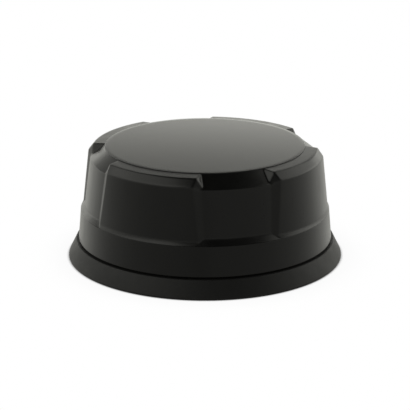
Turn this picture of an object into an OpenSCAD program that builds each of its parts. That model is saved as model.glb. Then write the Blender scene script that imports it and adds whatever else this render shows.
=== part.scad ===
// Compact satellite positioning receiver: a low round housing that stands on a flared rubber skirt or
// screws onto a survey pole. The origin is the centre of the foot, +Z is up, and the four recesses of
// the radome are centred on the X and Y axes.

/* [Envelope] */
// Diameter over the foot of the skirt
foot_d = 112; // [110:0.5:118]
// Height from the foot to the radome's edge around the top disc
rim_z = 45.8; // [45.3:0.05:47.2]
// How far the top disc stands above that edge
disc_proud = 0.25; // [0.1:0.05:0.4]
// Rise of the top disc at its centre
dome_rise = 0.35; // [0.2:0.05:0.6]

/* [Skirt] */
// Height of the skirt
skirt_h = 7.1; // [6.8:0.1:7.4]
// Height of the upright edge at the foot
foot_edge_h = 0.7; // [0.3:0.1:1.5]
// Lean of the skirt, as run per unit of rise
skirt_lean = 0.5; // [0.4:0.02:0.6]
// Width of the foot ring that touches the ground
foot_ring_w = 8; // [6:0.5:8]

/* [Lower housing] */
// Height of the dark reveal between the skirt and the band
reveal_h = 0.8; // [0.4:0.1:1.2]
// How far the bottom of the band stands in from the foot
band_inset = 4.15; // [3.9:0.05:4.4]
// Height at which the band meets the radome
parting_z = 19.9; // [19.5:0.1:20.5]
// Lean of the band, in degrees
band_draft = 5.1; // [3:0.1:6]
// Thickness of the moulded walls
wall = 2.3; // [2:0.1:2.6]

/* [Radome] */
// Radius of the flat top disc
disc_r = 40.5; // [39:0.1:42]
// Depth of the pocket that holds the top disc
pocket_depth = 1.3; // [1:0.1:1.6]
// Step in from the band to a raised wall
raised_step = 0.7; // [0.5:0.1:1]
// Step in from the band to a recessed wall
recess_step = 1.75; // [1.5:0.05:2]
// Lean of a raised wall, in degrees
raised_draft = 5.8; // [4:0.1:7]
// Lean of a recessed wall, in degrees
recess_draft = 7.6; // [6:0.1:9]
// Drop from that edge to the outer border of a raised block's top
border_drop = 0.35; // [0.2:0.05:0.8]
// Drop from that edge to the shoulder of a raised wall
raised_shoulder_drop = 3.35; // [2.95:0.1:3.95]
// Drop from that edge to the shoulder of a recessed wall
recess_shoulder_drop = 4.7; // [4.3:0.05:5.2]
// Width of the chamfer between a raised block's top and its wall
shoulder_w = 2.35; // [2:0.05:2.8]

/* [Recesses] */
// Half angle of a recess at the top of its ramp, at the floor
floor_half_angle = 17.6; // [17:0.1:18.5]
// Half angle of a recess at the top of its ramp, at the raised wall
mouth_half_angle = 21.4; // [21:0.1:23]
// Half angle of a recess at the bottom of its ramp, at the floor
heel_half_angle = 16.2; // [15.5:0.1:17]
// Half angle of a recess's end bevel at the top disc
disc_half_angle = 17.8; // [17.4:0.1:18.4]
// Half angle of a recess's end bevel at the border of the raised block
border_half_angle = 19.8; // [19.4:0.1:20.6]
// Half angle of a recess's end bevel at the shoulder of the recess
bevel_half_angle = 16.4; // [16:0.1:16.8]

/* [Pole socket] */
// Radius of the pole socket, 5/8 inch thread
socket_r = 7.94; // [7.94:0.01:8]
// Depth of the pole socket
socket_depth = 14; // [12:0.5:14]
// Height of the base plate's face above the foot
base_z = 2.5; // [2:0.1:3]

/* [Controls] */
// Distance of the button, door, vent and window from the centre
control_r = 32; // [31:0.5:33]
// Radius of the power button
button_r = 5; // [4.5:0.1:5.5]
// Travel of the power button
button_travel = 0.8; // [0.5:0.1:0.8]
// Running gap around the button and the door pin
running_gap = 0.05; // [0.02:0.01:0.09]

/* [Hidden] */
$fn = 128;
span = 2 * foot_d;
skin = 0.02;
FOURFOLD = 4;

// Outer profile
foot_r = foot_d / 2;
skirt_top_r = foot_r - skirt_lean * (skirt_h - foot_edge_h);
band_z = skirt_h + reveal_h;
band_r = foot_r - band_inset;
band_top_r = band_r - (parting_z - band_z) * tan(band_draft);
raised_foot_r = band_top_r - raised_step;
raised_foot_z = parting_z + 1.9 * raised_step;
recess_foot_r = band_top_r - recess_step;
recess_foot_z = parting_z + 1.3 * recess_step;
raised_shoulder_z = rim_z - raised_shoulder_drop;
raised_shoulder_r = raised_foot_r - (raised_shoulder_z - raised_foot_z) * tan(raised_draft);
recess_shoulder_z = rim_z - recess_shoulder_drop;
recess_shoulder_r = recess_foot_r - (recess_shoulder_z - recess_foot_z) * tan(recess_draft);
border_r = raised_shoulder_r - shoulder_w;
border_z = rim_z - border_drop;

// Housing joints
neck_r = band_r - 1.25;
neck_bore_r = neck_r - 3;
rib_z = 4;
rib_h = 1.2;
rib_depth = 0.7;
skirt_floor = 1.6;
plate_t = 2.5;
plate_top = base_z + plate_t;
plate_rib = [12, 1.6, 3];
gasket_t = 0.8;
ledge_z = plate_top + gasket_t;
ledge_t = 2.2;
ledge_bore_r = neck_r - 9.6;
ring_bore_r = band_top_r - 4;
seal_r = band_top_r - 2;
seal_cord_r = 0.6;
ceiling_z = rim_z - pocket_depth - wall + 0.3;

// Long screws through the base plate and housing into the radome
SCREW_COUNT = 8;
screw_circle_r = ring_bore_r - 2.6;
screw_r = 1.5;
screw_hole_r = 1.65;
screw_head_r = 2.3;
screw_head_h = 1.6;
screw_tip_z = 26.5;
screw_hex_r = 1.25;
column_r = 3;
boss_top_z = 28;
insert_r = 2.1;
insert_h = 6;

// Pole socket
flange_r = 15;
flange_t = 1.5;
socket_body_r = 10.6;
socket_top_z = base_z + socket_depth + 1.5;
socket_wall_r = socket_body_r + 2;
SOCKET_SCREW_COUNT = 3;
socket_screw_circle_r = 12.8;
socket_screw_r = 1;
socket_screw_head_r = 1.7;
socket_screw_head_h = 0.8;
socket_screw_hex_r = 0.8;
socket_lead_in = 0.9;

// Internal levels
board_z = 12.4;
board_t = 1.6;
board_top = board_z + board_t;
board_r = ledge_bore_r - 0.6;
tray_z = 18.6;
tray_t = 1.2;
battery_z = tray_z + tray_t + 0.5;
battery_t = 6;
ground_z = 30;
ground_t = 1.6;
ground_r = ledge_bore_r - 0.6;
element_z = ground_z + ground_t;
element_t = 4;
STUD_COUNT = 4;
stud_circle_r = 36;
stud_r = 1.25;
stud_hole_r = 1.3;
spacer_r = 2.6;
post_r = 3.2;
connector_h = 3.2;
plug_r = 1.9;
FEED_COUNT = 4;
feed_offset = 5;
feed_hole_r = 0.9;
coax_x = 32;
coax_y = -6;

// Button, door, port and window
button_gap_r = button_r + running_gap;
button_boss_r = button_r + 2.6;
button_boss_top = 8;
button_flange_r = button_r + 1.3;
button_flange_z = button_boss_top + 0.05;
button_flange_t = 0.9;
groove_z = [5.4, 6.6];
plunger_r = 1.6;
switch_z = button_flange_z + button_flange_t + button_travel + 0.1;
door_w = 18;
door_l = 13;
door_t = 1.8;
door_gap = 0.3;
door_z = base_z + 0.1;
barrel_r = 1.35;
pin_r = 0.75;
pin_end = 2;
hinge_y = -control_r + door_l / 2;
hinge_z = door_z + barrel_r;
pocket_top = door_z + door_t + 0.1;
port_block_top = 8;
port_y = hinge_y - door_l / 2 - 0.5;
plug_h = 1.1;
usb_mouth_z = 6.1;
port_slot = [11.4, 5.8];
plug_size = [10.9, 5.3];
usb_size = [8.9, 3.2];
window_size = [4, 12];
led_pitch = 3.6;
vent_r = 4;
vent_flange_r = 5;
vent_boss_r = 6.5;
membrane_r = 2.6;
membrane_z = base_z + 1.6;

// Point at radius r, angle a and height z
function at(r, a, z) = [r * cos(a), r * sin(a), z];
function plane_normal(p) = cross(p[1] - p[0], p[2] - p[0]);
function outward(n) = (n.x < 0 ? -n : n) / norm(n);

// Everything on the outer side of the plane through three points
module beyond(points) {
    n = outward(plane_normal(points));
    translate(points[0])
        rotate([0, acos(n.z), atan2(n.y, n.x)])
            translate([-span / 2, -span / 2, 0])
                cube(span);
}

// Children repeated evenly about the Z axis, the first at angle start
module ring_of(count, radius, start = 0) {
    for (i = [0 : count - 1])
        rotate(start + i * 360 / count)
            translate([radius, 0, 0])
                children();
}

module revolve(points) {
    rotate_extrude(convexity = 6) polygon(points);
}

module tube(outer, inner, low, high) {
    revolve([[inner, low], [outer, low], [outer, high], [inner, high]]);
}

module rod(radius, low, high) {
    translate([0, 0, low]) cylinder(r = radius, h = high - low);
}

// Rectangle with round corners, centred
module round_rect(size, r) {
    square([size.x - 2 * r, size.y], center = true);
    square([size.x, size.y - 2 * r], center = true);
    for (x = [-1, 1], y = [-1, 1])
        translate([x * (size.x / 2 - r), y * (size.y / 2 - r)])
            circle(r);
}

// Rectangle whose ends along its longer side are half circles, centred
module stadium(size) {
    long_x = size.x > size.y;
    r = min(size.x, size.y) / 2;
    reach = max(size.x, size.y) / 2 - r;
    square(long_x ? [2 * reach, size.y] : [size.x, 2 * reach], center = true);
    for (end = [-reach, reach])
        translate(long_x ? [end, 0] : [0, end])
            circle(r);
}

module slot_box(size, low) {
    translate([0, 0, low])
        linear_extrude(size.z)
            stadium([size.x, size.y]);
}

module round_box(size, r, low) {
    translate([0, 0, low])
        linear_extrude(size.z)
            round_rect([size.x, size.y], r);
}

module torus(major, minor, z) {
    translate([0, 0, z])
        rotate_extrude(convexity = 4)
            translate([major, 0])
                circle(minor, $fn = 48);
}

// ---- Radome and top disc ----

// One end of a recess, on its +Y side: the ramp face, the end bevel and the tip facet
module recess_end() {
    floor_corner = at(recess_shoulder_r, floor_half_angle, recess_shoulder_z);
    wall_corner = at(raised_shoulder_r, mouth_half_angle, raised_shoulder_z);
    heel_corner = at(recess_foot_r, heel_half_angle, recess_foot_z);
    disc_corner = at(disc_r, disc_half_angle, rim_z);
    border_corner = at(border_r, border_half_angle, border_z);
    bevel_corner = at(recess_shoulder_r, bevel_half_angle, recess_shoulder_z);
    intersection() {
        linear_extrude(span) polygon([[-1, -1], [span, -1], [span, span - 2]]);
        union() {
            beyond([floor_corner, wall_corner, heel_corner]);
            beyond([disc_corner, border_corner, bevel_corner]);
            beyond([border_corner, floor_corner, wall_corner]);
        }
    }
}

module raised_blocks() {
    inner_r = disc_r - 3;
    difference() {
        revolve([
            [inner_r, parting_z + 3], [raised_foot_r - 3, parting_z],
            [band_top_r, parting_z], [raised_foot_r, raised_foot_z],
            [raised_shoulder_r, raised_shoulder_z], [border_r, border_z],
            [disc_r, rim_z], [inner_r, rim_z]
        ]);
        for (i = [0 : FOURFOLD - 1], side = [0, 1])
            rotate(i * 360 / FOURFOLD)
                mirror([0, side, 0])
                    recess_end();
    }
}

module radome_outside() {
    revolve([
        [0, parting_z], [band_top_r, parting_z], [recess_foot_r, recess_foot_z],
        [recess_shoulder_r, recess_shoulder_z], [disc_r, rim_z], [0, rim_z]
    ]);
    raised_blocks();
}

module radome() color("#1d1d1b") {
    slope = (rim_z - recess_shoulder_z) / (recess_shoulder_r - disc_r);
    knee_r = recess_shoulder_r - wall;
    knee_z = recess_shoulder_z - 0.9;
    difference() {
        union() {
            difference() {
                radome_outside();
                revolve([
                    [0, parting_z - 1], [ring_bore_r, parting_z - 1], [ring_bore_r, parting_z + 1],
                    [recess_foot_r - wall, recess_foot_z], [knee_r, knee_z],
                    [knee_r - (ceiling_z - knee_z) / slope, ceiling_z], [0, ceiling_z]
                ]);
                rod(disc_r, rim_z - pocket_depth, span);
            }
            ring_of(SCREW_COUNT, screw_circle_r, 22.5) rod(column_r, parting_z, boss_top_z);
        }
        ring_of(SCREW_COUNT, screw_circle_r, 22.5) rod(insert_r, parting_z - 1, boss_top_z - 1);
    }
}

// Height of the shallow domed face of the disc at radius r
function dome_z(r) = rim_z + disc_proud + dome_rise * (1 - pow(r / disc_r, 2));

module top_disc() color("#1f1f1d") {
    edge_r = disc_r - skin;
    rings = 10;
    revolve(concat(
        [[0, rim_z - pocket_depth], [edge_r, rim_z - pocket_depth]],
        [for (i = [rings : -1 : 0]) [edge_r * i / rings, dome_z(edge_r * i / rings)]]
    ));
}

module radome_inserts() color("goldenrod") {
    ring_of(SCREW_COUNT, screw_circle_r, 22.5)
        tube(insert_r - skin, screw_r + skin, parting_z + 0.2, parting_z + 0.2 + insert_h);
}

module radome_seal() color("#3a2a26") {
    torus(seal_r, seal_cord_r, parting_z - seal_cord_r);
}

// ---- Lower housing and skirt ----

module lower_housing() color("#1c1c1a") {
    difference() {
        union() {
            revolve([
                [neck_bore_r, skirt_floor], [neck_r, skirt_floor], [neck_r, rib_z],
                [neck_r - rib_depth, rib_z], [neck_r - rib_depth, rib_z + rib_h],
                [neck_r, rib_z + rib_h], [neck_r, band_z], [band_r, band_z],
                [band_top_r, parting_z - 0.12], [band_top_r - 0.12, parting_z], [ring_bore_r, parting_z],
                [ring_bore_r, ledge_z + ledge_t], [ledge_bore_r, ledge_z + ledge_t],
                [ledge_bore_r, ledge_z], [neck_bore_r, ledge_z]
            ]);
            ring_of(SCREW_COUNT, screw_circle_r, 22.5) rod(column_r, ledge_z + 1, parting_z - 0.5);
        }
        ring_of(SCREW_COUNT, screw_circle_r, 22.5) rod(screw_hole_r, ledge_z - 1, parting_z + 1);
        tube(seal_r + 0.85, seal_r - 0.85, parting_z - 2 * seal_cord_r, parting_z + 1);
    }
}

module skirt() color("#222220") {
    revolve([
        [foot_r - foot_ring_w, 0], [foot_r, 0], [foot_r, foot_edge_h],
        [skirt_top_r, skirt_h], [neck_r, skirt_h],
        [neck_r, rib_z + rib_h - skin], [neck_r - rib_depth + skin, rib_z + rib_h - skin],
        [neck_r - rib_depth + skin, rib_z + skin], [neck_r, rib_z + skin],
        [neck_r, skirt_floor], [foot_r - foot_ring_w, skirt_floor]
    ]);
}

// ---- Base plate and its fasteners ----

module at_button() translate([0, control_r, 0]) children();
module at_vent() translate([-control_r, 0, 0]) children();
module at_window() translate([control_r, 0, 0]) children();
module at_port() translate([0, port_y, 0]) children();

module base_plate() color("#26282a") {
    difference() {
        union() {
            rod(neck_bore_r - 0.2, base_z, plate_top);
            rod(socket_wall_r, base_z, socket_top_z - 3);
            for (i = [0 : 5])
                rotate(i * 60 + 30)
                    translate([socket_wall_r - 1, -plate_rib.y / 2, plate_top - 1])
                        cube(plate_rib);
            ring_of(STUD_COUNT, stud_circle_r, 45) rod(post_r, base_z, board_z);
            at_button() rod(button_boss_r, base_z, button_boss_top);
            at_vent() rod(vent_boss_r, base_z, plate_top + 1);
            intersection() {
                translate([-door_w / 2 - 3, hinge_y - door_l - 2, base_z])
                    cube([door_w + 6, door_l + 6, port_block_top - base_z]);
                rod(ledge_bore_r - 0.6, base_z, port_block_top);
            }
        }
        ring_of(SCREW_COUNT, screw_circle_r, 22.5) {
            rod(screw_hole_r, base_z - 1, plate_top + 1);
            rod(screw_head_r + 0.2, base_z - 1, base_z + screw_head_h);
        }
        rod(socket_body_r, base_z - 1, span);
        rod(flange_r + 0.1, base_z - 1, base_z + flange_t);
        tube(socket_body_r + 1.1, socket_body_r, base_z, base_z + flange_t + 0.9);
        ring_of(SOCKET_SCREW_COUNT, socket_screw_circle_r, 90)
            rod(socket_screw_r, base_z, base_z + flange_t + 5);
        ring_of(STUD_COUNT, stud_circle_r, 45) rod(stud_hole_r, board_z - 5, board_z + 1);
        at_button() rod(button_gap_r, base_z - 1, button_boss_top + 1);
        at_vent() {
            rod(vent_r, base_z - 1, span);
            rod(vent_flange_r + 0.1, base_z - 1, base_z + 1);
        }
        at_window() slot_box([window_size.x + 0.2, window_size.y + 0.2, span], base_z - 1);
        door_pocket();
    }
}

module door_pocket() {
    half_w = door_w / 2 + door_gap;
    translate([-half_w, hinge_y - door_l - door_gap, base_z - 1])
        cube([2 * half_w, door_l + door_gap, pocket_top - base_z + 1]);
    translate([-half_w, hinge_y - barrel_r - door_gap, base_z - 1])
        cube([2 * half_w, 2 * barrel_r + 4 * door_gap, hinge_z - base_z + 1]);
    translate([-half_w, hinge_y, hinge_z])
        rotate([0, 90, 0])
            cylinder(r = barrel_r + door_gap, h = 2 * half_w);
    translate([-half_w - pin_end, hinge_y, hinge_z])
        rotate([0, 90, 0])
            cylinder(r = pin_r + skin, h = 2 * (half_w + pin_end));
    at_port() slot_box([port_slot.x, port_slot.y, span], base_z - 1);
}

module base_gasket() color("#5b2f2a") {
    difference() {
        tube(neck_bore_r - 0.3, ledge_bore_r + 0.1, plate_top, ledge_z);
        ring_of(SCREW_COUNT, screw_circle_r, 22.5) rod(screw_hole_r + 0.1, plate_top - 1, ledge_z + 1);
    }
}

// Socket-head screw with its head down
module screw(shank_r, head_r, head_low, head_h, tip, hex_r) {
    difference() {
        union() {
            rod(head_r, head_low, head_low + head_h);
            rod(shank_r, head_low, tip);
        }
        translate([0, 0, head_low - 1]) cylinder(r = hex_r, h = 1 + 0.6 * head_h, $fn = 6);
    }
}

module housing_screws() color("silver") {
    ring_of(SCREW_COUNT, screw_circle_r, 22.5)
        screw(screw_r, screw_head_r, base_z + 0.1, screw_head_h - 0.1, screw_tip_z, screw_hex_r);
}

module pole_socket() color("darkgoldenrod") {
    difference() {
        union() {
            rod(flange_r, base_z - 0.1, base_z + flange_t);
            rod(socket_body_r - skin, base_z, socket_top_z);
        }
        rod(socket_r, base_z - 1, base_z + socket_depth);
        translate([0, 0, base_z - 0.1])
            cylinder(r1 = socket_r + socket_lead_in, r2 = socket_r, h = socket_lead_in);
        ring_of(SOCKET_SCREW_COUNT, socket_screw_circle_r, 90) {
            rod(socket_screw_r + 0.15, base_z - 1, base_z + 2);
            rod(socket_screw_head_r + 0.1, base_z - 1, base_z + socket_screw_head_h);
        }
    }
}

module socket_seal() color("#3a2a26") {
    torus(socket_body_r + 0.55, 0.45, base_z + flange_t + 0.45);
}

module socket_screws() color("silver") {
    ring_of(SOCKET_SCREW_COUNT, socket_screw_circle_r, 90)
        screw(
            socket_screw_r - skin, socket_screw_head_r, base_z, socket_screw_head_h,
            base_z + 6, socket_screw_hex_r
        );
}

// ---- Power button ----

module power_button() color("#b23a1f") at_button() {
    groove_r = button_r - 1;
    dish_r = button_r - 1.6;
    face_z = base_z + 0.2;
    revolve([
        [0, face_z + 0.4], [dish_r - 0.8, face_z + 0.25], [dish_r, face_z], [button_r - 0.3, face_z],
        [button_r, face_z + 0.3], [button_r, groove_z[0]], [groove_r, groove_z[0]],
        [groove_r, groove_z[1]], [button_r, groove_z[1]],
        [button_r, button_flange_z], [button_flange_r, button_flange_z],
        [button_flange_r, button_flange_z + button_flange_t], [0, button_flange_z + button_flange_t]
    ]);
}

module button_seal() color("#3a2a26") at_button() {
    torus(button_r - 0.48, 0.5, (groove_z[0] + groove_z[1]) / 2);
}

module switch_plunger() color("white") at_button() {
    rod(plunger_r, button_flange_z + button_flange_t, switch_z + 0.8);
}

module power_switch() color("dimgray") at_button() {
    difference() {
        round_box([6.2, 6.2, board_z - switch_z], 0.4, switch_z);
        rod(plunger_r + running_gap, switch_z - 1, switch_z + 0.8 + button_travel + 0.1);
    }
}

// ---- Port and its door ----

module port_door() color("#232321") {
    difference() {
        union() {
            translate([-door_w / 2, hinge_y - door_l, door_z])
                cube([door_w, door_l, door_t]);
            translate([-door_w / 2, hinge_y, hinge_z])
                rotate([0, 90, 0])
                    cylinder(r = barrel_r, h = door_w);
        }
        translate([-door_w / 2 - 1, hinge_y, hinge_z])
            rotate([0, 90, 0])
                cylinder(r = pin_r + running_gap, h = door_w + 2);
        translate([0, hinge_y - door_l, door_z])
            cylinder(r = 2.6, h = 0.8);
    }
}

module door_seal() color("#3a2a26") at_port() {
    difference() {
        slot_box([plug_size.x, plug_size.y, plug_h], door_z + door_t);
        slot_box([plug_size.x - 2.4, plug_size.y - 2.4, plug_h], door_z + door_t + 0.6);
    }
}

module door_pin() color("silver") {
    half = door_w / 2 + door_gap + pin_end;
    translate([-half, hinge_y, hinge_z])
        rotate([0, 90, 0])
            cylinder(r = pin_r, h = 2 * half);
}

module usb_receptacle() color("silver") at_port() {
    shell = 0.3;
    tongue = [6.6, 0.7];
    depth = board_z - usb_mouth_z - 2 * shell;
    difference() {
        slot_box([usb_size.x, usb_size.y, board_z - usb_mouth_z], usb_mouth_z);
        slot_box([usb_size.x - 2 * shell, usb_size.y - 2 * shell, depth], usb_mouth_z - skin);
    }
    translate([-tongue.x / 2, -tongue.y / 2, usb_mouth_z + shell]) cube([tongue.x, tongue.y, depth]);
}

// ---- Status window and vent ----

module status_lens() color("#556677") at_window() {
    slot_box([window_size.x, window_size.y, 1.4], base_z + 0.2);
    for (i = [-1 : 1])
        translate([0, led_pitch * i, 0]) rod(1.2, base_z + 1, board_z - 1.2);
}

module status_leds() color("#e8e0c0") at_window() {
    for (i = [-1 : 1])
        translate([0, led_pitch * i, 0]) round_box([2, 1.4, 0.8], 0.2, board_z - 0.8);
}

module pressure_vent() color("#2c2c2a") at_vent() {
    difference() {
        union() {
            rod(vent_flange_r, base_z + 0.1, base_z + 1);
            rod(vent_r - skin, base_z + 0.1, plate_top + 2.2);
            tube(vent_r + 0.4, vent_r - 0.5, plate_top + 1.05, plate_top + 2.2);
        }
        rod(membrane_r, membrane_z, span);
        ring_of(6, 1.6) rod(0.45, base_z - 1, base_z + 3);
    }
}

module vent_membrane() color("white") at_vent() {
    rod(membrane_r - skin, membrane_z, membrane_z + 0.3);
}

// ---- Main board ----

module main_board() color("#1f5a36") {
    difference() {
        rod(board_r, board_z, board_top);
        rod(socket_wall_r + 0.5, board_z - 1, board_top + 1);
        ring_of(STUD_COUNT, stud_circle_r, 45) rod(stud_hole_r, board_z - 1, board_top + 1);
    }
}

module receiver_module() color("silver") {
    translate([25, 10, 0]) {
        round_box([22, 17, 2.4], 0.8, board_top);
        round_box([18, 13, 2.6], 0.6, board_top);
    }
}

module radio_module() color("silver") {
    translate([-24, 14, 0]) {
        round_box([11, 10, 1.8], 0.6, board_top);
        translate([-8, 0, 0]) round_box([5, 9, 1], 0.3, board_top);
    }
}

// Chips and coils on the board: place, size and height of each
module board_chips() color("#18181a") {
    chips = [
        [[-24, -6], [8, 8], 1.2], [[-26, -18], [6, 6], 1.6], [[-12, -26], [7, 7], 3],
        [[4, -22], [5, 6], 1], [[14, -26], [9, 6], 1.2], [[24, -12], [7, 7], 1],
        [[-6, 24], [6, 5], 1.1], [[6, 26], [4, 4], 0.9]
    ];
    for (chip = chips)
        translate([chip[0].x, chip[0].y, 0])
            round_box([chip[1].x, chip[1].y, chip[2]], 0.3, board_top);
}

module board_connectors() color("ivory") {
    translate([-33, -6, 0])
        difference() {
            round_box([5, 9, connector_h], 0.3, board_top);
            translate([-2, 0, 0]) round_box([3, 7, 2], 0.2, board_top + 0.8);
        }
    translate([coax_x, coax_y, 0]) tube(1.6, 0.6, board_top, board_top + 1.2);
}

module radio_antenna() color("#c08a3e") {
    strip_r = ring_bore_r - 0.1;
    rotate(167)
        translate([0, 0, 11])
            rotate_extrude(angle = 26, convexity = 4)
                translate([strip_r - 0.25, 0])
                    square([0.25, 6]);
}

// Hexagonal spacer with a threaded stud below and a threaded hole above
module standoff(low, high, stud_l) {
    difference() {
        union() {
            translate([0, 0, low]) cylinder(r = spacer_r, h = high - low, $fn = 6);
            rod(stud_r, low - stud_l, low + 1);
        }
        rod(stud_hole_r, high - 4.5, high + 1);
    }
}

module board_standoffs() color("goldenrod") {
    ring_of(STUD_COUNT, stud_circle_r, 45) standoff(board_top, tray_z, 5.5);
}

// ---- Battery ----

module battery_tray() color("#2f3133") {
    difference() {
        union() {
            rod(ground_r, tray_z, tray_z + tray_t);
            difference() {
                round_box([60, 44, 4], 3, tray_z + tray_t);
                round_box([57, 41, 6], 2, tray_z + tray_t - skin);
                translate([-span / 2, -10, tray_z + tray_t]) cube([span, 20, 6]);
            }
        }
        ring_of(STUD_COUNT, stud_circle_r, 45) rod(stud_hole_r, tray_z - 1, tray_z + tray_t + 1);
        for (side = [-1, 1])
            translate([side * ground_r, 0, 0]) round_box([20, 20, 6], 2, tray_z - 1);
        ring_of(6, 14) rod(3, tray_z - 1, tray_z + tray_t + 1);
    }
}

module battery_pack() color("#3d4a66") {
    round_box([56, 40, battery_t], 3, battery_z);
}

module battery_pads() color("#8a8a86") {
    round_box([40, 24, 0.5], 2, battery_z - 0.5);
    round_box([40, 24, 0.6], 2, battery_z + battery_t);
}

// Wire from the pack's end down to its plug on the board
module battery_lead() color("firebrick") {
    wire_r = 0.6;
    bend = 2;
    run = 3;
    high = battery_z + 2.5;
    low = board_top + connector_h;
    for (y = [-8, -6, -4])
        translate([-28, y, 0]) {
            translate([0, 0, high]) rotate([0, -90, 0]) cylinder(r = wire_r, h = run);
            translate([-run, 0, high - bend]) rotate([90, 0, 0]) rotate(90)
                rotate_extrude(angle = 90) translate([bend, 0]) circle(wire_r, $fn = 32);
            translate([-run - bend, 0, low]) cylinder(r = wire_r, h = high - bend - low);
        }
}

module antenna_standoffs() color("goldenrod") {
    ring_of(STUD_COUNT, stud_circle_r, 45) standoff(tray_z + tray_t, ground_z, 4);
}

// ---- Antenna ----

module feed_holes() {
    ring_of(FEED_COUNT, feed_offset) rod(feed_hole_r, ground_z - 1, span);
}

module ground_plane() color("#b98a4a") {
    difference() {
        rod(ground_r, ground_z, ground_z + ground_t);
        ring_of(STUD_COUNT, stud_circle_r, 45) rod(stud_hole_r, ground_z - 1, ground_z + ground_t + 1);
        feed_holes();
    }
}

module lower_element() color("#d8d2c4") {
    difference() {
        round_box([40, 40, element_t], 2, element_z);
        feed_holes();
    }
}

module upper_element() color("#e4dfd2") {
    difference() {
        round_box([26, 26, element_t], 1.5, element_z + element_t);
        feed_holes();
    }
}

module feed_pins() color("gold") {
    ring_of(FEED_COUNT, feed_offset) {
        rod(0.5, ground_z - 0.6, element_z + 2 * element_t + 0.3);
        rod(1.2, element_z + 2 * element_t, element_z + 2 * element_t + 0.4);
    }
}

module lna_shield() color("silver") {
    difference() {
        round_box([28, 20, 2.4], 1, ground_z - 2.4);
        round_box([27, 19, 2.4], 0.5, ground_z - 2);
    }
}

module antenna_screws() color("silver") {
    ring_of(STUD_COUNT, stud_circle_r, 45)
        mirror([0, 0, 1])
            screw(stud_r, 2.3, -(element_z + 1.6), 1.6, -(ground_z - 3), 1);
}

module antenna_coax() color("#4a4a4a") {
    cable_r = 0.7;
    bend = 3;
    run_x = 37.6;
    plug_x = coax_x + plug_r;
    top_z = ground_z - 1.4;
    low_z = board_top + 1.8;
    translate([0, coax_y, 0]) {
        translate([plug_x, 0, top_z]) rotate([0, 90, 0])
            cylinder(r = cable_r, h = run_x - bend - plug_x);
        translate([run_x - bend, 0, top_z - bend]) rotate([90, 0, 0])
            rotate_extrude(angle = 90) translate([bend, 0]) circle(cable_r, $fn = 32);
        translate([run_x, 0, low_z + bend]) cylinder(r = cable_r, h = top_z - low_z - 2 * bend);
        translate([run_x - bend, 0, low_z + bend]) rotate([90, 0, 0])
            rotate_extrude(angle = -90) translate([bend, 0]) circle(cable_r, $fn = 32);
        translate([plug_x, 0, low_z]) rotate([0, 90, 0])
            cylinder(r = cable_r, h = run_x - bend - plug_x);
    }
}

module coax_plugs() color("gold") {
    translate([coax_x, coax_y, 0]) {
        rod(plug_r, board_top + 1.2, board_top + 2.6);
        rod(plug_r, ground_z - 2.2, ground_z - skin);
    }
}

radome();
top_disc();
lower_housing();
skirt();
radome_seal();
radome_inserts();
base_plate();
base_gasket();
housing_screws();
pole_socket();
socket_seal();
socket_screws();
power_button();
button_seal();
switch_plunger();
power_switch();
port_door();
door_seal();
door_pin();
usb_receptacle();
status_lens();
status_leds();
pressure_vent();
vent_membrane();
main_board();
receiver_module();
radio_module();
board_chips();
board_connectors();
radio_antenna();
board_standoffs();
battery_tray();
battery_pack();
battery_pads();
battery_lead();
antenna_standoffs();
ground_plane();
lower_element();
upper_element();
feed_pins();
lna_shield();
antenna_screws();
antenna_coax();
coax_plugs();
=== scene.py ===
"""Looks of a compact satellite positioning receiver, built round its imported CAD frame."""

import math

import bmesh
import bpy
import numpy as np
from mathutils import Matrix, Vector


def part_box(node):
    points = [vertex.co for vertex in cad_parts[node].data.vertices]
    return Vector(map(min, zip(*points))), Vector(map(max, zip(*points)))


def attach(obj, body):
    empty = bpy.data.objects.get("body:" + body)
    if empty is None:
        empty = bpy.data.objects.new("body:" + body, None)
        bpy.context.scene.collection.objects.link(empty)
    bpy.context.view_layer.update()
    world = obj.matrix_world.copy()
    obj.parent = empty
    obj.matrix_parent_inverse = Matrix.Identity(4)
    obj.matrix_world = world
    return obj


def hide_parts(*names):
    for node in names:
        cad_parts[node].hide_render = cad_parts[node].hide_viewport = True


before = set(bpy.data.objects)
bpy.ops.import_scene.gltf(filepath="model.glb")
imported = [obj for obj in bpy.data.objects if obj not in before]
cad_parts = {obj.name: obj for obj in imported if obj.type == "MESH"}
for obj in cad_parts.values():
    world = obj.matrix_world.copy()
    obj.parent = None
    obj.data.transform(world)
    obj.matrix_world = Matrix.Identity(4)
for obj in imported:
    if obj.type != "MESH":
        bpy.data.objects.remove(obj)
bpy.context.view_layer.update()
MM = 0.001

# ---------------------------------------------------------------------------
# Sizes in millimetres, from the frame and from the drafts of its mouldings
# ---------------------------------------------------------------------------


def low(node):
    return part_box(node)[0] / MM


def high(node):
    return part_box(node)[1] / MM


def middle(node):
    return (low(node) + high(node)) / 2


FOOT_R = high("skirt").x
SKIRT_TOP = high("skirt").z
RADOME_R = high("radome").x
PARTING_Z = low("radome").z
RIM_Z = high("radome").z
DISC_R = high("top_disc").x
DISC_TOP = high("top_disc").z
DISC_FLOOR = low("top_disc").z
BASE_Z = low("base_plate").z

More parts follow.
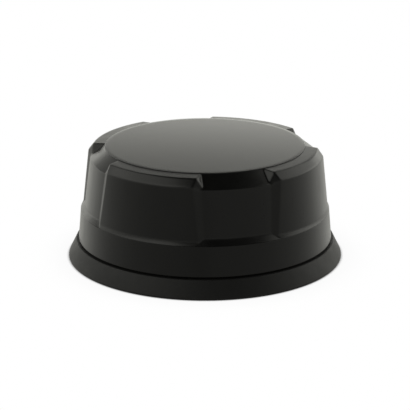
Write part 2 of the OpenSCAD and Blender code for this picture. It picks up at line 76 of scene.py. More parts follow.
RECESSES = 4
BOSSES = 8
FOOT_EDGE = 0.7
SKIRT_LEAN = 0.5
FOOT_RING = 8.0
REVEAL = 0.8
BAND_DRAFT = math.radians(5.1)
RAISED_STEP, RECESS_STEP = 0.7, 1.75
RAISED_STEP_RISE, RECESS_STEP_RISE = 1.9, 1.3
RAISED_DRAFT, RECESS_DRAFT = math.radians(5.8), math.radians(7.6)
RAISED_DROP, RECESS_DROP, BORDER_DROP = 3.35, 4.7, 0.35
SHOULDER_W = 2.35
FLOOR_HALF, MOUTH_HALF, HEEL_HALF = 17.6, 21.4, 16.2
DISC_HALF, BORDER_HALF, BEVEL_HALF = 17.8, 19.8, 16.4
WALL = 2.3
ROOF = 2
RIM_WALL = 4
POCKET_GAP = 0.12
NECK_INSET = 1.25

BAND_Z = SKIRT_TOP + REVEAL
BAND_R = RADOME_R + (PARTING_Z - BAND_Z) * math.tan(BAND_DRAFT)
RAISED_FOOT = (RADOME_R - RAISED_STEP, PARTING_Z + RAISED_STEP_RISE * RAISED_STEP)
RECESS_FOOT = (RADOME_R - RECESS_STEP, PARTING_Z + RECESS_STEP_RISE * RECESS_STEP)
BAND_TOP = (RADOME_R, PARTING_Z)
DISC_EDGE = (DISC_R, RIM_Z)


def on_wall(foot, draft, z):
    """Point (r, z) of a leaning wall at height z."""
    return (foot[0] - (z - foot[1]) * math.tan(draft), z)


RAISED_SHOULDER = on_wall(RAISED_FOOT, RAISED_DRAFT, RIM_Z - RAISED_DROP)
RECESS_SHOULDER = on_wall(RECESS_FOOT, RECESS_DRAFT, RIM_Z - RECESS_DROP)
BORDER = (RAISED_SHOULDER[0] - SHOULDER_W, RIM_Z - BORDER_DROP)


# ---------------------------------------------------------------------------
# Mesh helpers
# ---------------------------------------------------------------------------
MERGE_DISTANCE = 0.0005
ARC_STEPS = 4
ON_AXIS = 1e-6
LEAST_FILLET = 1e-9


def make_object(name, verts, faces, sharp=40):
    """Mesh object from millimetre points, smooth except at edges sharper than the angle."""
    mesh = bpy.data.meshes.new(name)
    mesh.from_pydata([tuple(c * MM for c in v) for v in verts], [], faces)
    bm = bmesh.new()
    bm.from_mesh(mesh)
    bmesh.ops.remove_doubles(bm, verts=bm.verts, dist=MERGE_DISTANCE * MM)
    bmesh.ops.recalc_face_normals(bm, faces=bm.faces)
    bm.to_mesh(mesh)
    bm.free()
    mesh.shade_smooth()
    mesh.set_sharp_from_angle(angle=math.radians(sharp))
    obj = bpy.data.objects.new(name, mesh)
    bpy.context.scene.collection.objects.link(obj)
    return obj


def rounded(corners):
    """Closed outline of (a, b, radius) corners, each corner turned into an arc of its radius."""
    out = []
    for i, (a, b, radius) in enumerate(corners):
        here = Vector((a, b))
        if radius <= 0:
            out.append((a, b))
            continue
        before = (Vector(corners[i - 1][:2]) - here).normalized()
        after = (Vector(corners[(i + 1) % len(corners)][:2]) - here).normalized()
        half = before.angle(after) / 2
        reach = radius / math.tan(half)
        centre = here + (before + after).normalized() * (radius / math.sin(half))
        start = here + before * reach - centre
        end = here + after * reach - centre
        for s in range(ARC_STEPS + 1):
            spoke = start.lerp(end, s / ARC_STEPS).normalized() * radius
            out.append(tuple(centre + spoke))
    return out


def sweep(rings):
    """Faces between closed rings of vertex numbers, the last ring joined to the first."""
    faces = []
    for one, two in zip(rings, rings[1:] + rings[:1]):
        for j in range(len(one)):
            n = (j + 1) % len(one)
            corners = [one[j], one[n], two[n], two[j]]
            face = [c for i, c in enumerate(corners) if c != corners[i - 1]]
            if len(face) > 2:
                faces.append(face)
    return faces


def lathe(azimuths, outlines):
    """Vertices and faces of closed (r, z) outlines, one for each azimuth, all of equal length."""
    verts = []
    rings = []
    for k in range(len(outlines[0])):
        points = [outline[k] for outline in outlines]
        if max(r for r, z in points) < ON_AXIS:
            verts.append((0, 0, points[0][1]))
            rings.append([len(verts) - 1] * len(points))
            continue
        rings.append(list(range(len(verts), len(verts) + len(points))))
        verts += [(r * math.cos(a), r * math.sin(a), z) for a, (r, z) in zip(azimuths, points)]
    return verts, sweep(rings)


def turned(corners, segments, centre=(0, 0)):
    """Solid of revolution from (r, z, radius) corners, about a vertical axis at centre."""
    outline = rounded(corners)
    azimuths = [2 * math.pi * j / segments for j in range(segments)]
    verts, faces = lathe(azimuths, [outline] * segments)
    return [(x + centre[0], y + centre[1], z) for x, y, z in verts], faces


def merged(parts):
    """One list of vertices and one of faces from several closed parts."""
    verts, faces = [], []
    for part_verts, part_faces in parts:
        faces += [[c + len(verts) for c in face] for face in part_faces]
        verts += part_verts
    return verts, faces


def smooth_min(a, b, k):
    """Smaller of two lengths, with the change from one to the other rounded over about k."""
    h = np.maximum(k - np.abs(a - b), 0) / np.maximum(k, LEAST_FILLET)
    return np.minimum(a, b) - h * h * k / 4


def smooth_max(a, b, k):
    return -smooth_min(-a, -b, k)


# ---------------------------------------------------------------------------
# Radome: a convex core with four raised blocks. Both are measured along rays
# from a point inside each meridian, so that every edge comes out filleted.
# ---------------------------------------------------------------------------
EYE = (30.0, 30.0)
EDGE_FILLET = 0.32
CREASE_FILLET = 0.3
STEP_FILLET = 0.4
CREASE_FADE = math.radians(4)
RAY_STEP = math.radians(1.1)
FEWEST_STEPS = 6
GRAZING, FAR_AWAY = 1e-4, 1e3
# Azimuths in degrees: where the closely spaced part across a recess end starts and stops, and the steps
END_FROM, END_TO, BLOCK_TO = 13.5, 24.5, 44.5
MIDDLE_STEP, END_STEP, BLOCK_STEP = 1.5, 0.35, 1.6


def half_plane(a, b):
    """(nr, nz, d) of the line through a and b, facing away from EYE."""
    normal = Vector((a[1] - b[1], b[0] - a[0])).normalized()
    d = normal.dot(Vector(a))
    if normal.dot(Vector(EYE)) > d:
        normal, d = -normal, -d
    return normal.x, normal.y, d


def at(point, degrees):
    """Point (r, z) turned to an azimuth."""
    a = math.radians(degrees)
    return Vector((point[0] * math.cos(a), point[0] * math.sin(a), point[1]))


def face_plane(a, b, c):
    """Plane (normal, d) through three points, facing away from the axis."""
    normal = (b - a).cross(c - a).normalized()
    normal = -normal if normal.x < 0 else normal
    return normal, normal.dot(a)


def recess_end_planes():
    """Ramp, end bevel and tip facet at one end of a recess."""
    floor_corner = at(RECESS_SHOULDER, FLOOR_HALF)
    wall_corner = at(RAISED_SHOULDER, MOUTH_HALF)
    heel_corner = at(RECESS_FOOT, HEEL_HALF)
    disc_corner = at(DISC_EDGE, DISC_HALF)
    border_corner = at(BORDER, BORDER_HALF)
    bevel_corner = at(RECESS_SHOULDER, BEVEL_HALF)
    return [
        face_plane(floor_corner, wall_corner, heel_corner),
        face_plane(disc_corner, border_corner, bevel_corner),
        face_plane(border_corner, floor_corner, wall_corner),
    ]


RECESS_SKIN = [half_plane(DISC_EDGE, RECESS_SHOULDER), half_plane(RECESS_SHOULDER, RECESS_FOOT)]
RECESS_STEP_FACE = half_plane(RECESS_FOOT, BAND_TOP)
RAISED_SKIN = [
    half_plane(DISC_EDGE, BORDER),
    half_plane(BORDER, RAISED_SHOULDER),
    half_plane(RAISED_SHOULDER, RAISED_FOOT),
]
RAISED_STEP_FACE = half_plane(RAISED_FOOT, BAND_TOP)
END_PLANES = recess_end_planes()


def reach(planes, directions):
    """Distance from EYE to the nearest of some half-planes along each direction, edges rounded."""
    best = None
    for nr, nz, d in planes:
        along = nr * directions[:, 0] + nz * directions[:, 1]
        room = d - nr * EYE[0] - nz * EYE[1]
        t = np.where(along > GRAZING, room / np.maximum(along, GRAZING), FAR_AWAY)
        best = t if best is None else smooth_min(best, t, EDGE_FILLET)
    return best


def ring_reach(skin, step_face, directions):
    """Distance from EYE to a full ring of wall, whose foot flares out in a step."""
    return smooth_max(reach(skin, directions), reach([step_face], directions), STEP_FILLET)


def ray_angles():
    """Ray directions from the disc's edge down to the parting line, closer together near edges."""
    start = (DISC_R + POCKET_GAP, RIM_Z)
    keys = [start, BORDER, RAISED_SHOULDER, RECESS_SHOULDER, RECESS_FOOT, RAISED_FOOT, BAND_TOP]
    turns = [math.atan2(z - EYE[1], r - EYE[0]) for r, z in keys]
    out = [turns[0]]
    for first, last in zip(turns, turns[1:]):
        count = max(FEWEST_STEPS, round(abs(last - first) / RAY_STEP))
        shares = [(1 - math.cos(math.pi * (i + 1) / count)) / 2 for i in range(count)]
        out += [first + (last - first) * share for share in shares]
    return np.array(out)


def radome_azimuths():
    """Azimuths in degrees round the radome, closer together across the ends of the recesses."""
    middle_part = np.arange(0, END_FROM, MIDDLE_STEP)
    end_part = np.arange(END_FROM, END_TO, END_STEP)
    block_part = np.arange(END_TO, BLOCK_TO, BLOCK_STEP)
    half = np.concatenate([middle_part, end_part, block_part])
    quarter = np.concatenate([half, [45], 90 - half[:0:-1]])
    return np.concatenate([quarter + 90 * i for i in range(RECESSES)])


def radome_outline(azimuth, angles, inside):
    """Outline of the radome at one azimuth: disc pocket, outer skin, then the hollow inside."""
    folded = math.radians(abs((azimuth + 45) % 90 - 45))
    directions = np.stack([np.cos(angles), np.sin(angles)], axis=1)
    ends = [(n.x * math.cos(folded) + n.y * math.sin(folded), n.z, d) for n, d in END_PLANES]
    core = ring_reach(RECESS_SKIN, RECESS_STEP_FACE, directions)
    block = ring_reach(RAISED_SKIN, RAISED_STEP_FACE, directions)
    block = smooth_min(block, reach(ends, directions), EDGE_FILLET)
    margin = np.minimum(np.abs(angles - angles[0]), np.abs(angles - angles[-1]))
    crease = CREASE_FILLET * np.clip(margin / CREASE_FADE, 0, 1)
    outer = smooth_max(core, block, crease)
    skin = [tuple(p) for p in np.array(EYE) + directions * outer[:, None]]
    pocket_r = skin[0][0]
    return [(0, DISC_FLOOR), (pocket_r, DISC_FLOOR)] + skin + inside


def boss_tubes():
    """Closed tubes for the screws, which stand on the parting line inside the radome."""
    outer_r, bore_r, bore_top, roof = 3.0, 2.1, 27.0, 1.0
    corners = [
        (bore_r, PARTING_Z, 0), (outer_r, PARTING_Z, 0.2), (outer_r, bore_top + roof, 0.4),
        (0, bore_top + roof, 0), (0, bore_top, 0), (bore_r, bore_top, 0.2),
    ]
    half_step = math.pi / BOSSES
    ring_r = (high("radome_inserts").x - bore_r) / math.cos(half_step)
    turns = [half_step + 2 * math.pi * i / BOSSES for i in range(BOSSES)]
    return [turned(corners, 32, (ring_r * math.cos(t), ring_r * math.sin(t))) for t in turns]


def radome_shell():
    """Radome with its filleted recesses, in place of the plain CAD shell."""
    ceiling = DISC_FLOOR - ROOF
    bore_r = RADOME_R - RIM_WALL
    knee = (RECESS_SHOULDER[0] - WALL, RECESS_SHOULDER[1] - 0.9)
    inside = [
        (bore_r, PARTING_Z), (RECESS_FOOT[0] - WALL, RECESS_FOOT[1]),
        knee, (knee[0] - 3, ceiling), (0, ceiling),
    ]
    angles = ray_angles()
    azimuths = radome_azimuths()
    outlines = [radome_outline(a, angles, inside) for a in azimuths]
    shell = lathe(np.radians(azimuths), outlines)
    return make_object("radome_shell", *merged([shell] + boss_tubes()), sharp=55)


# ---------------------------------------------------------------------------
# Other outer pieces
# ---------------------------------------------------------------------------


def disc_plate():
    """Thin top disc with a rounded edge and a shallow dome."""
    rise, edge_fillet, rings = 0.35, 0.12, 24
    dome = [
        (DISC_R * i / rings, DISC_TOP - rise * (i / rings) ** 2, 0) for i in range(rings - 1, -1, -1)
    ]
    corners = [(0, DISC_FLOOR, 0), (DISC_R, DISC_FLOOR, 0.1), (DISC_R, DISC_TOP - rise, edge_fillet)]
    return make_object("disc_plate", *turned(corners + dome, 256), sharp=50)


def skirt_boot():
    """Rubber foot with softened edges, its rib seated in the neck's groove."""
    inner_r = FOOT_R - FOOT_RING
    top_r = FOOT_R - SKIRT_LEAN * (SKIRT_TOP - FOOT_EDGE)
    neck_r = BAND_R - NECK_INSET
    rib_low, rib_high, rib_depth, floor_z = 4.02, 5.18, 0.68, 1.6
    corners = [
        (inner_r, 0, 0.3), (FOOT_R, 0, 0.15), (FOOT_R, FOOT_EDGE, 0.25),
        (top_r, SKIRT_TOP, 0.45), (neck_r, SKIRT_TOP, 0.1),
        (neck_r, rib_high, 0), (neck_r - rib_depth, rib_high, 0.15),
        (neck_r - rib_depth, rib_low, 0.15), (neck_r, rib_low, 0),
        (neck_r, floor_z, 0), (inner_r, floor_z, 0.3),
    ]
    return make_object("skirt_boot", *turned(corners, 256))


def socket_thread():
    """Helical thread ridge of the pole socket, 5/8 inch with 11 turns per inch."""
    pitch, depth, root_r = 25.4 / 11, 1.15, 7.94
    low_z, high_z, steps = BASE_Z + 1.3, BASE_Z + 13.2, 72
    section = [(0.15, -0.42), (0.15, 0.42), (-depth, 0.09), (-depth, -0.09)]
    count = round((high_z - low_z) / pitch * steps)
    verts, rings = [], []
    for i in range(count + 1):
        turn = 2 * math.pi * i / steps
        z = low_z + pitch * i / steps
        grown = min(1, min(i, count - i) / (steps / 4))
        rings.append(list(range(len(verts), len(verts) + len(section))))
        for dr, dz in section:
            r = root_r + (dr * grown if dr < 0 else dr)
            verts.append((r * math.cos(turn), r * math.sin(turn), z + dz * pitch))
    faces = sweep(rings)[: -len(section)]
    faces += [rings[0], rings[-1][::-1]]
    return make_object("pole_socket_thread", verts, faces, sharp=30)


def button_cap():
    """Push button with a dished face, two grip rings and the groove for its seal."""
    spot = middle("power_button")
    button_r, flange_r = 5.0, high("power_button").x
    face_z, flange_z, top_z = low("power_button").z, 8.05, high("power_button").z
    corners = [
        (0, face_z + 0.45, 0), (1.2, face_z + 0.42, 0.2), (1.5, face_z + 0.2, 0.1),
        (1.8, face_z + 0.2, 0.1), (2.1, face_z + 0.38, 0.2), (2.7, face_z + 0.3, 0.15),
        (3.0, face_z + 0.1, 0.1), (3.3, face_z + 0.1, 0.1), (3.6, face_z, 0.2),
        (button_r, face_z, 0.35), (button_r, 5.4, 0.1), (button_r - 1, 5.4, 0.15),
        (button_r - 1, 6.6, 0.15), (button_r, 6.6, 0.1), (button_r, flange_z, 0),
        (flange_r, flange_z, 0.1), (flange_r, top_z, 0.15), (0, top_z, 0),
    ]
    return make_object("button_cap", *turned(corners, 96, (spot.x, spot.y)), sharp=50)


# ---------------------------------------------------------------------------
# Materials: every one is a node graph in object coordinates
# ---------------------------------------------------------------------------


class Finish:
    """Node graph of one material, with short calls for the nodes it is made of."""

    def __init__(self, name):
        self.material = bpy.data.materials.new(name)
        self.material.use_nodes = True
        self.tree = self.material.node_tree
        self.surface = self.tree.nodes["Principled BSDF"]
        self.place = self.add("TexCoord").outputs["Object"]

    def add(self, kind, inputs=None, **settings):
        node = self.tree.nodes.new("ShaderNode" + kind)
        for key, value in settings.items():
            setattr(node, key, value)
        for key, value in (inputs or {}).items():
            self.feed(node.inputs[key], value)
        return node

    def feed(self, socket, value):
        if isinstance(value, bpy.types.NodeSocket):
            self.tree.links.new(value, socket)
        else:
            socket.default_value = value

    def set(self, **values):
        """Feeds inputs of the surface, such as Base_Color."""
        for key, value in values.items():
            self.feed(self.surface.inputs[key.replace("_", " ")], value)
        return self

    def noise(self, size, detail, rough=0.5, place=None):
        """Noise whose features are about size millimetres across, from 0 to 1."""
        inputs = {
            "Vector": place or self.place, "Scale": 1 / (size * MM),
            "Detail": detail, "Roughness": rough,
        }
        return self.add("TexNoise", inputs).outputs["Fac"]

    def cells(self, size):
        """Distance to the nearest of many scattered points, about size millimetres apart."""
        inputs = {"Vector": self.place, "Scale": 1 / (size * MM)}
        return self.add("TexVoronoi", inputs).outputs["Distance"]

    def math(self, operation, a, b):
        return self.add("Math", {0: a, 1: b}, operation=operation).outputs[0]

    def span(self, value, first, last, start=0.3, end=0.7):
        """Value stretched from start-end to first-last, and held at those limits."""
        inputs = {
            "Value": value, "From Min": start, "From Max": end, "To Min": first, "To Max": last,
        }
        return self.add("MapRange", inputs).outputs["Result"]

    def mix(self, share, a, b):
        inputs = {"Factor": share}
        node = self.add("Mix", inputs, data_type="RGBA")
        self.feed(node.inputs[6], a)
        self.feed(node.inputs[7], b)
        return node.outputs[2]

    def stretched(self, x, y, z):
        """Coordinates scaled along each axis, so that noise becomes streaks."""
        return self.add("Mapping", {"Vector": self.place, "Scale": (x, y, z)}).outputs["Vector"]

    def polar(self):
        """Radius from the object's vertical axis, and height, for marks that run round the axis."""
        apart = self.add("SeparateXYZ", {"Vector": self.place})
        flat = self.add("CombineXYZ", {"X": apart.outputs["X"], "Y": apart.outputs["Y"]})
        radius = self.add("VectorMath", {0: flat.outputs[0]}, operation="LENGTH").outputs["Value"]
        joined = self.add("CombineXYZ", {"X": radius, "Z": apart.outputs["Z"]})
        return joined.outputs[0]

    def height(self):
        """Height above the ground in metres."""
        return self.add("SeparateXYZ", {"Vector": self.place}).outputs["Z"]

    def edges(self, radius):
        """Share from 0 on flat faces to 1 on convex and concave edges, radius in millimetres."""
        soft = self.add("Bevel", {"Radius": radius * MM}, samples=4).outputs["Normal"]
        true = self.add("NewGeometry").outputs["Normal"]
        facing = self.add("VectorMath", {0: soft, 1: true}, operation="DOT_PRODUCT").outputs["Value"]
        return self.span(facing, 1.0, 0.0, 0.8, 0.99)

    def bump(self, height, depth, strength=0.5):
        """Surface relief, depth in millimetres."""
        inputs = {"Height": height, "Distance": depth * MM, "Strength": strength}
        self.set(Normal=self.add("Bump", inputs).outputs["Normal"])
        return self


def grey(value, warmth=1.0):
    """Linear colour of a near-black or grey surface, a little warm above 1."""
    return (value * warmth, value, value / warmth, 1)


def moulded(name, shade, roughness, grain=0.3, depth=0.006, warmth=1.02, mottle=1.0):
    """Injection-moulded plastic: fine spark grain, cloudy gloss, handling marks, edges polished
    smoother and painted lighter as a highlight.
    """
    f = Finish(name)
    spark = f.noise(grain, 4.0, 0.6)
    cloud = f.noise(14, 3.0)
    smear = f.noise(5, 4.0, 0.65, f.stretched(1, 1, 0.35))
    # Edge mask: lowers the roughness on edges (polish) and lightens their colour (painted highlight).
    polish_and_painted_highlight = f.edges(0.35)
    tone = f.mix(f.span(cloud, 0, 1), grey(shade * 0.85, warmth), grey(shade * 1.2, warmth))
    gloss = f.span(smear, roughness - 0.025 * mottle, roughness + 0.035 * mottle)
    gloss = f.math("SUBTRACT", gloss, f.math("MULTIPLY", polish_and_painted_highlight, 0.05))
    # Convex and concave edges painted lighter, towards 2.2 times the shade: a painted edge highlight,
    # not a colour of the plastic.
    f.set(Base_Color=f.mix(f.math("MULTIPLY", polish_and_painted_highlight, 0.5), tone, grey(shade * 2.2, warmth)))
    f.set(Roughness=f.math("ADD", gloss, f.span(spark, -0.02 * mottle, 0.02 * mottle)), IOR=1.5)
    return f.bump(spark, depth).material


def rubber(name, shade, roughness, warmth=1.0):
    """Matt rubber: fine tooth, faint dust that gathers low down, scuffed edges."""
    f = Finish(name)
    tooth = f.noise(0.22, 5.0, 0.7)
    patches = f.noise(9, 5.0, 0.7)
    low_down = f.span(f.height(), 1.0, 0.15, 0.0, 0.004)
    dust = f.math("MULTIPLY", f.span(patches, 0, 1, 0.5, 0.75), low_down)
    scuff = f.math("MULTIPLY", f.edges(0.4), f.span(f.noise(2.5, 4.0), 0, 0.6, 0.45, 0.7))
    lighter = f.math("MAXIMUM", f.math("MULTIPLY", dust, 0.35), f.math("MULTIPLY", scuff, 0.4))
    f.set(Base_Color=f.mix(lighter, grey(shade, warmth), grey(shade * 4 + 0.01, 1.05)))
    f.set(Roughness=f.span(patches, roughness - 0.04, roughness + 0.05), IOR=1.48)
    return f.bump(tooth, 0.02, 0.6).material


def turned_metal(name, colour, roughness, tarnish=0.25):
    """Metal turned on a lathe: fine rings round its axis, patches of tarnish."""
    f = Finish(name)
    rings = f.noise(0.12, 2.0, 0.5, f.polar())
    stain = f.noise(3.5, 5.0, 0.65)
    dark = tuple(c * 0.55 for c in colour[:3]) + (1,)
    f.set(Base_Color=f.mix(f.span(stain, 0, tarnish, 0.45, 0.75), colour, dark), Metallic=1.0)
    gloss = f.math("ADD", f.span(stain, roughness, roughness + 0.12), f.span(rings, -0.04, 0.06))
    f.set(Roughness=gloss)
    return f.bump(rings, 0.006, 0.6).material


def plated_metal(name, colour, roughness):
    """Rolled or plated metal: short brushed streaks, small dull spots."""
    f = Finish(name)
    streaks = f.noise(0.15, 3.0, 0.6, f.stretched(0.12, 1, 1))
    spots = f.noise(1.4, 5.0, 0.7)
    dull = tuple(c * 0.7 for c in colour[:3]) + (1,)
    f.set(Base_Color=f.mix(f.span(spots, 0, 0.5, 0.5, 0.72), colour, dull), Metallic=1.0)
    gloss = f.math("ADD", f.span(spots, roughness, roughness + 0.1), f.span(streaks, -0.05, 0.05))
    f.set(Roughness=gloss)
    return f.bump(streaks, 0.004, 0.5).material


def circuit_board(name, mask, trace):
    """Solder mask over copper: fine traces, pads and the weave of the laminate."""
    f = Finish(name)
    tracks = f.add("TexBrick", {
        "Vector": f.place, "Scale": 1 / (4.2 * MM), "Mortar Size": 0.05, "Brick Width": 0.9,
        "Row Height": 0.42, "Mortar Smooth": 0.1,
    }, offset=0.37, squash=0.6, squash_frequency=3).outputs["Fac"]
    holes = f.span(f.cells(1.9), 1, 0, 0.1, 0.13)
    weave = f.noise(0.5, 2.0, 0.5, f.stretched(1, 0.3, 1))
    base = f.mix(f.math("MULTIPLY", tracks, 0.8), mask, trace)
    base = f.mix(f.span(weave, 0, 0.18), base, grey(0.01))
    f.set(Base_Color=f.mix(holes, base, (0.72, 0.5, 0.2, 1)), Metallic=f.math("MULTIPLY", holes, 0.9))
    f.set(Roughness=f.span(weave, 0.28, 0.4), Coat_Weight=0.4, Coat_Roughness=0.15)
    return f.bump(f.math("ADD", tracks, holes), 0.02, 0.4).material


def ceramic(name):
    """Fired ceramic with a silvered skin: speckle, pores and a soft edge."""
    f = Finish(name)
    speck = f.noise(0.4, 5.0, 0.7)
    pores = f.span(f.cells(0.9), 1, 0, 0.08, 0.16)
    tone = f.mix(f.span(speck, 0, 1), (0.66, 0.62, 0.53, 1), (0.8, 0.77, 0.7, 1))
    f.set(Base_Color=f.mix(f.math("MULTIPLY", pores, 0.4), tone, grey(0.3, 1.1)))
    f.set(Roughness=f.span(speck, 0.38, 0.52), IOR=1.7)
    return f.bump(f.math("SUBTRACT", speck, pores), 0.02, 0.5).material


def foam(name):
    """Closed-cell foam: open pores of two sizes."""
    f = Finish(name)
    pores = f.math("ADD", f.cells(0.7), f.math("MULTIPLY", f.cells(0.3), 0.5))
    f.set(Base_Color=f.mix(f.span(pores, 0, 1, 0.2, 0.7), grey(0.06), grey(0.2)), Roughness=0.92)
    return f.bump(pores, 0.12, 0.9).material


def wrap(name, colour):
    """Shrink wrap: long soft wrinkles and a satin gloss."""
    f = Finish(name)
    wrinkles = f.noise(4, 4.0, 0.6, f.stretched(0.25, 1, 1))
    deep = tuple(c * 0.7 for c in colour[:3]) + (1,)
    f.set(Base_Color=f.mix(f.span(wrinkles, 0, 1), colour, deep))
    f.set(Roughness=f.span(wrinkles, 0.26, 0.42), Coat_Weight=0.3)
    return f.bump(wrinkles, 0.15, 0.5).material


def jacket(name, colour, roughness):
    """Wire insulation or cable jacket: extrusion lines and small scuffs."""
    f = Finish(name)
    lines = f.noise(0.15, 3.0, 0.6, f.stretched(1, 1, 0.1))
    scuffs = f.noise(1.1, 5.0, 0.7)
    pale = tuple(c * 0.7 + 0.08 for c in colour[:3]) + (1,)
    f.set(Base_Color=f.mix(f.span(scuffs, 0, 0.5, 0.5, 0.75), colour, pale))
    f.set(Roughness=f.span(scuffs, roughness - 0.05, roughness + 0.1))
    return f.bump(lines, 0.01, 0.5).material


def smoked_lens(name):
    """Smoked window with faint moulding flow and fine scratches."""
    f = Finish(name)
    flow = f.noise(3, 3.0, 0.5)
    scratches = f.noise(0.5, 5.0, 0.7, f.stretched(0.08, 1, 1))
    f.set(Base_Color=f.mix(f.span(flow, 0, 1), (0.10, 0.12, 0.14, 1), (0.16, 0.18, 0.2, 1)))
    f.set(Roughness=f.span(scratches, 0.06, 0.2, 0.55, 0.75), IOR=1.49, Transmission_Weight=0.75)
    return f.bump(scratches, 0.003, 0.4).material


def lamp(name):
    """Lamp body: pale epoxy with a yellow phosphor patch, not lit."""
    f = Finish(name)
    patch = f.span(f.noise(0.9, 2.0), 0, 1, 0.45, 0.55)
    f.set(Base_Color=f.mix(patch, (0.8, 0.78, 0.7, 1), (0.75, 0.6, 0.2, 1)))
    f.set(Roughness=f.span(patch, 0.2, 0.35))
    return f.bump(patch, 0.02, 0.4).material


def film(name):
    """Copper-clad polyimide film: amber gloss over a printed track."""
    f = Finish(name)
    inputs = {"Vector": f.place, "Scale": 1 / (9 * MM), "Distortion": 0.4}
    track = f.add("TexWave", inputs).outputs["Fac"]
    f.set(Base_Color=f.mix(f.span(track, 0, 1, 0.45, 0.55), (0.45, 0.2, 0.04, 1), (0.7, 0.36, 0.18, 1)))
    f.set(Roughness=f.span(f.noise(0.6, 3.0), 0.22, 0.36), Metallic=f.span(track, 0, 0.8, 0.45, 0.55))
    return f.bump(track, 0.02, 0.3).material


def finishes():
    """Material of each slot of the record."""
    return {
        "radome_plastic": moulded("radome_plastic", 0.0045, 0.3),
        # The disc is the radome's plastic, but its shade is four times the radome's: a painted sheen
        # standing in for light falling on the top.
        "disc_plastic": moulded("disc_plastic", 0.018, 0.21, depth=0.003, mottle=0.3),
        "skirt_rubber": rubber("skirt_rubber", 0.0045, 0.56),
        "seal_rubber": rubber("seal_rubber", 0.04, 0.5, 1.6),
        "base_plastic": moulded("base_plastic", 0.03, 0.42, grain=0.5, depth=0.03, warmth=0.98),
        "socket_brass": turned_metal("socket_brass", (0.78, 0.55, 0.25, 1), 0.24),
        "brass": turned_metal("brass", (0.8, 0.6, 0.28, 1), 0.28),
        "steel": turned_metal("steel", (0.56, 0.56, 0.55, 1), 0.26, tarnish=0.15),
        "tinned_steel": plated_metal("tinned_steel", (0.7, 0.7, 0.68, 1), 0.3),
        "button_plastic": moulded("button_plastic", 0.08, 0.4, grain=0.35, depth=0.012, warmth=4.5),
        "light_plastic": moulded("light_plastic", 0.6, 0.42, warmth=1.04),
        "chip_plastic": moulded("chip_plastic", 0.012, 0.5, grain=0.2, depth=0.02),
        "lens": smoked_lens("lens"),
        "led": lamp("led"),
        "circuit_board": circuit_board("circuit_board", (0.01, 0.085, 0.03, 1), (0.03, 0.2, 0.07, 1)),
        "antenna_board": circuit_board("antenna_board", (0.3, 0.2, 0.09, 1), (0.5, 0.3, 0.14, 1)),
        "antenna_film": film("antenna_film"),
        "battery_wrap": wrap("battery_wrap", (0.05, 0.08, 0.16, 1)),
        "foam": foam("foam"),
        "wire_insulation": jacket("wire_insulation", (0.45, 0.03, 0.02, 1), 0.4),
        "cable_jacket": jacket("cable_jacket", (0.05, 0.05, 0.05, 1), 0.45),
        "ceramic": ceramic("ceramic"),
    }


# ---------------------------------------------------------------------------
# Assembly: new pieces stand for their CAD nodes and ride on the same bodies
# ---------------------------------------------------------------------------


def paint_cad_nodes(library):
    """Gives each CAD node the finish of its slot in the record."""
    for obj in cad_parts.values():
        for slot in obj.material_slots:
            slot.material = library[slot.material.name.split(".")[0]]


def place_piece(piece, body, slot_name, library, replaced=None):
    piece.data.materials.append(library[slot_name])
    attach(piece, body)
    if replaced:
        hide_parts(replaced)


def build_pieces():
    library = finishes()
    paint_cad_nodes(library)
    place_piece(radome_shell(), "housing", "radome_plastic", library, "radome")
    place_piece(disc_plate(), "housing", "disc_plastic", library, "top_disc")
    place_piece(skirt_boot(), "housing", "skirt_rubber", library, "skirt")
    place_piece(socket_thread(), "housing", "socket_brass", library)
    place_piece(button_cap(), "button", "button_plastic", library, "power_button")


# ---------------------------------------------------------------------------
# Studio: pale floor, bright backdrop, soft light, camera
# ---------------------------------------------------------------------------
CAMERA_AZIMUTH = math.radians(-15.7)
CAMERA_ELEVATION = math.radians(18.08)
CAMERA_DISTANCE = 11.886 * FOOT_R * MM
CAMERA_AIM_Z = 0.358 * FOOT_R * MM
LENS_MM, SENSOR_MM = 142.54, 36.0
FLOOR_HALF_WIDTH = 3.0
FLOOR_DROP = 0.05 * MM
NEAR_SHADOW, WIDE_SHADOW = 1.2 * MM, 25 * MM
SOFTBOX_DISTANCE = 1.2
AWAY = Vector((-math.sin(CAMERA_AZIMUTH), math.cos(CAMERA_AZIMUTH), 0))
RIGHT = Vector((math.cos(CAMERA_AZIMUTH), math.sin(CAMERA_AZIMUTH), 0))


def build_camera():
    data = bpy.data.cameras.new("camera")
    data.lens, data.sensor_width = LENS_MM, SENSOR_MM
    data.clip_start, data.clip_end = 0.01, 20
    camera = bpy.data.objects.new("camera", data)
    flat = math.cos(CAMERA_ELEVATION)
    back = Vector((0, 0, math.sin(CAMERA_ELEVATION))) - AWAY * flat
    camera.location = Vector((0, 0, CAMERA_AIM_Z)) + back * CAMERA_DISTANCE
    camera.rotation_mode = "QUATERNION"
    camera.rotation_quaternion = (-back).to_track_quat("-Z", "Y")
    bpy.context.scene.collection.objects.link(camera)
    bpy.context.scene.camera = camera


def build_floor():
    """Pale floor: white to the camera with a thin contact shadow, clear from below."""
    half = FLOOR_HALF_WIDTH
    mesh = bpy.data.meshes.new("floor")
    corners = [(-half, -half, 0), (half, -half, 0), (half, half, 0), (-half, half, 0)]
    mesh.from_pydata(corners, [], [(0, 1, 2, 3)])
    floor = bpy.data.objects.new("floor", mesh)
    floor.location.z = -FLOOR_DROP
    bpy.context.scene.collection.objects.link(floor)
    floor.visible_glossy = False
    floor.visible_diffuse = False
    floor.visible_shadow = False
    floor.data.materials.append(floor_material())


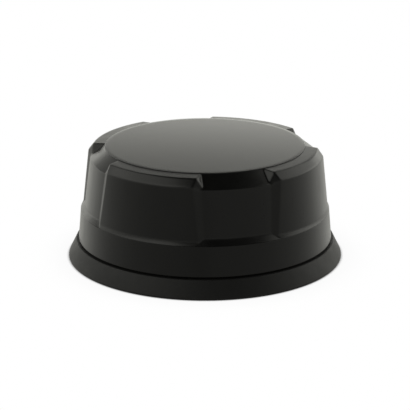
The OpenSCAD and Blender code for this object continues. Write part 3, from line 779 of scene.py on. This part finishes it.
def floor_material():
    f = Finish("floor")
    near = f.add("AmbientOcclusion", {"Distance": NEAR_SHADOW}, samples=8).outputs["AO"]
    wide = f.add("AmbientOcclusion", {"Distance": WIDE_SHADOW}, samples=8).outputs["AO"]
    tone = f.mix(f.span(wide, 0, 1, 0.4, 0.9), grey(0.9), grey(1.0))
    tone = f.mix(f.span(near, 0, 1, 0.35, 0.95), grey(0.04), tone)
    glow = f.add("Emission", {"Color": tone, "Strength": 1.0}).outputs[0]
    clear = f.add("BsdfTransparent").outputs[0]
    below = f.add("NewGeometry").outputs["Backfacing"]
    shown = f.add("MixShader", {0: below, 1: glow, 2: clear}).outputs[0]
    f.feed(f.tree.nodes["Material Output"].inputs["Surface"], shown)
    f.tree.nodes.remove(f.surface)
    return f.material


class Sky(Finish):
    """Node graph of the world, whose light is set by direction."""

    def __init__(self):
        self.world = bpy.data.worlds.new("studio")
        self.world.use_nodes = True
        self.tree = self.world.node_tree
        self.place = self.add("TexCoord").outputs["Generated"]

    def along(self, direction):
        inputs = {0: self.place, 1: tuple(direction)}
        return self.add("VectorMath", inputs, operation="DOT_PRODUCT").outputs["Value"]

    def levels(self, value, stops):
        """Brightness read off (value, level) stops, the values from -1 to 1."""
        node = self.add("ValToRGB", {"Fac": self.span(value, 0, 1, -1, 1)})
        ramp = node.color_ramp
        while len(ramp.elements) < len(stops):
            ramp.elements.new(0.5)
        for element, (spot, level) in zip(ramp.elements, stops):
            element.position = (spot + 1) / 2
            element.color = grey(level)
        return node.outputs["Color"]


# Brightness of the room as (direction, level) stops. The directions are how far a ray points away from
# the camera, how far up, and how far to the right, each from -1 to 1. The three levels are multiplied.
ROUND_ROOM = [
    (-0.7, 0.24), (-0.34, 0.31), (0.0, 0.41), (0.2, 0.52), (0.4, 0.66), (0.6, 0.92), (0.8, 1.0),
]
UP_THE_WALLS = [
    (-0.4, 0.38), (0.0, 0.47), (0.1, 0.73), (0.16, 1.0), (0.2, 0.92),
    (0.27, 0.27), (0.34, 0.1), (0.42, 0.2), (0.5, 0.36), (0.6, 0.14), (0.7, 0.022),
]
ACROSS_THE_BACK = [(-0.25, 1.0), (-0.1, 0.74), (0.1, 1.0)]
ROOM_GAIN = 2.2
STUDIO_TINT = (1.0, 1.0, 0.93)


def build_world():
    """White to the camera. The object sees a bright backdrop with a dimmer strip of light above it,
    less light round the sides and a dark ceiling."""
    s = Sky()
    around = s.levels(s.along(AWAY), ROUND_ROOM)
    upward = s.levels(s.along((0, 0, 1)), UP_THE_WALLS)
    across = s.levels(s.along(RIGHT), ACROSS_THE_BACK)
    room = s.add("VectorMath", {0: around, 1: upward}, operation="MULTIPLY").outputs[0]
    room = s.add("VectorMath", {0: room, 1: across}, operation="MULTIPLY").outputs[0]
    gain = tuple(ROOM_GAIN * c for c in STUDIO_TINT)
    room = s.add("VectorMath", {0: room, 1: gain}, operation="MULTIPLY").outputs[0]
    seen = s.add("LightPath").outputs["Is Camera Ray"]
    s.feed(s.tree.nodes["Background"].inputs["Color"], s.mix(seen, room, grey(1.0)))
    bpy.context.scene.world = s.world


def softbox(name, azimuth, elevation, size, radiance):
    """Area light aimed at the object. Azimuth 0 is away from the camera, 90 to its right."""
    a, e = math.radians(azimuth), math.radians(elevation)
    way = (AWAY * math.cos(a) + RIGHT * math.sin(a)) * math.cos(e) + Vector((0, 0, math.sin(e)))
    data = bpy.data.lights.new(name, "AREA")
    data.shape = "RECTANGLE"
    data.size, data.size_y = size
    data.energy = radiance * math.pi * size[0] * size[1]
    data.color = STUDIO_TINT
    light = bpy.data.objects.new(name, data)
    light.location = way * SOFTBOX_DISTANCE
    light.rotation_mode = "QUATERNION"
    light.rotation_quaternion = way.to_track_quat("Z", "Y")
    light.visible_camera = False
    bpy.context.scene.collection.objects.link(light)


def build_studio():
    build_camera()
    build_floor()
    build_world()
    softbox("left_softbox", -110, 41, (1.8, 0.9), 0.88)
    softbox("right_softbox", 75, 33, (1.0, 1.0), 0.9)
    scene = bpy.context.scene
    scene.view_settings.view_transform = "Standard"
    scene.cycles.use_denoising = True


build_pieces()
build_studio()
